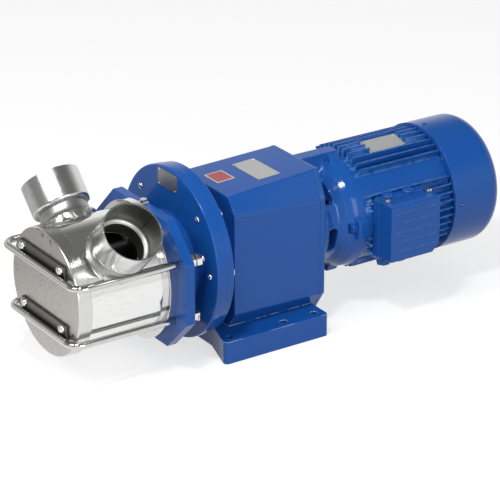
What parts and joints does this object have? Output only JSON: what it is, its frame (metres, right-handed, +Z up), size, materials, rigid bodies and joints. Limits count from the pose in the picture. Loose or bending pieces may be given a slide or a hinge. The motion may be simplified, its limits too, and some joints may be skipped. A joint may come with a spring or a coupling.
{
  "type": "flexible impeller pump",
  "caption": "Close-coupled flexible impeller pump: polished stainless head with two angled tube ports, cover held by bent round bars, blue foot-mounted gearbox and finned motor",
  "frame": {"origin": "middle of the four corner holes of the gearbox foot, in the plane that the foot stands on", "axes": "+X along the shafts from the pump to the motor, +Z up, +Y to the far side in the picture"},
  "size_m": [0.8817, 0.3408, 0.3254],
  "materials": {
    "blue_paint": "deep blue gloss enamel",
    "polished_steel": "mirror polished stainless steel",
    "satin_steel": "satin stainless steel",
    "bright_screws": "bright stainless fasteners",
    "painted_screws": "fasteners painted with the machine",
    "black_rubber": "black moulded rubber",
    "seal_ceramic": "lapped carbon and ceramic",
    "machine_steel": "ground and hobbed steel",
    "bearing_steel": "sealed bearing rings",
    "grey_iron": "plain grey casting",
    "core_steel": "stacked sheet steel",
    "copper": "varnished copper wire",
    "black_plastic": "black moulded plastic",
    "grey_plastic": "light grey moulded plastic",
    "bare_sheet": "bare sheet, nothing printed",
    "red_sheet": "plain red sheet, nothing printed"
  },
  "bodies": {
    "base": {"adapter_bolts": "painted_screws", "adapter_disc": "blue_paint", "bar_nuts": "bright_screws", "bearing_wall": "grey_iron", "blanking_plug": "black_plastic", "cable_gland": "grey_plastic", "cam": "satin_steel", "clamp_screws": "bright_screws", "cover_ring": "black_rubber", "delivery_port": "polished_steel", "disc_nuts": "bright_screws", "disc_plate": "bare_sheet", "disc_studs": "bright_screws", "fan_cover": "blue_paint", "fan_cover_screws": "painted_screws", "gearbox_housing": "blue_paint", "gearbox_rear_cover": "blue_paint", "input_adapter": "blue_paint", "input_oil_seal": "black_rubber", "lantern": "blue_paint", "layshaft_bearings": "bearing_steel", "lid_screws": "bright_screws", "lower_clamp_bar": "satin_steel", "lower_stirrup": "satin_steel", "motor_bearings": "bearing_steel", "motor_frame": "blue_paint", "motor_front_shield": "blue_paint", "motor_nameplate": "bare_sheet", "motor_rear_shield": "blue_paint", "oil_plugs": "painted_screws", "output_flange": "blue_paint", "output_front_bearing": "bearing_steel", "output_oil_seal": "black_rubber", "output_rear_bearing": "bearing_steel", "plate_clip": "bright_screws", "pump_body": "polished_steel", "pump_cover": "satin_steel", "red_label": "red_sheet", "seal_seat": "seal_ceramic", "silver_plate": "bare_sheet", "stator_core": "core_steel", "stator_windings": "copper", "suction_port": "polished_steel", "support_plate": "blue_paint", "terminal_block": "black_plastic", "terminal_box_base": "blue_paint", "terminal_box_lid": "blue_paint", "upper_clamp_bar": "satin_steel", "upper_stirrup": "satin_steel"},
    "output": {"output_shaft": "machine_steel", "output_gear": "machine_steel", "impeller_insert": "satin_steel", "impeller": "black_rubber", "seal_ring": "seal_ceramic", "seal_bellows": "black_rubber"},
    "intermediate": {"intermediate_shaft": "machine_steel", "intermediate_gear": "machine_steel"},
    "rotor": {"rotor_shaft": "machine_steel", "rotor_core": "core_steel", "fan": "black_plastic"}
  },
  "joints": [
    {"name": "rotor_spin", "type": "hinge", "parent": "base", "child": "rotor", "pos_m": [0.25, 0, 0.17], "axis": [1, 0, 0], "continuous": true},
    {"name": "intermediate_spin", "type": "hinge", "parent": "base", "child": "intermediate", "pos_m": [0.02, 0, 0.225], "axis": [1, 0, 0], "continuous": true},
    {"name": "output_spin", "type": "hinge", "parent": "base", "child": "output", "pos_m": [-0.15, 0, 0.155], "axis": [1, 0, 0], "continuous": true, "deforming": ["impeller"]}
  ],
  "couplings": [
    {"joint": "intermediate_spin", "follows": "rotor_spin", "ratio": -0.46667},
    {"joint": "output_spin", "follows": "rotor_spin", "ratio": 0.2}
  ]
}
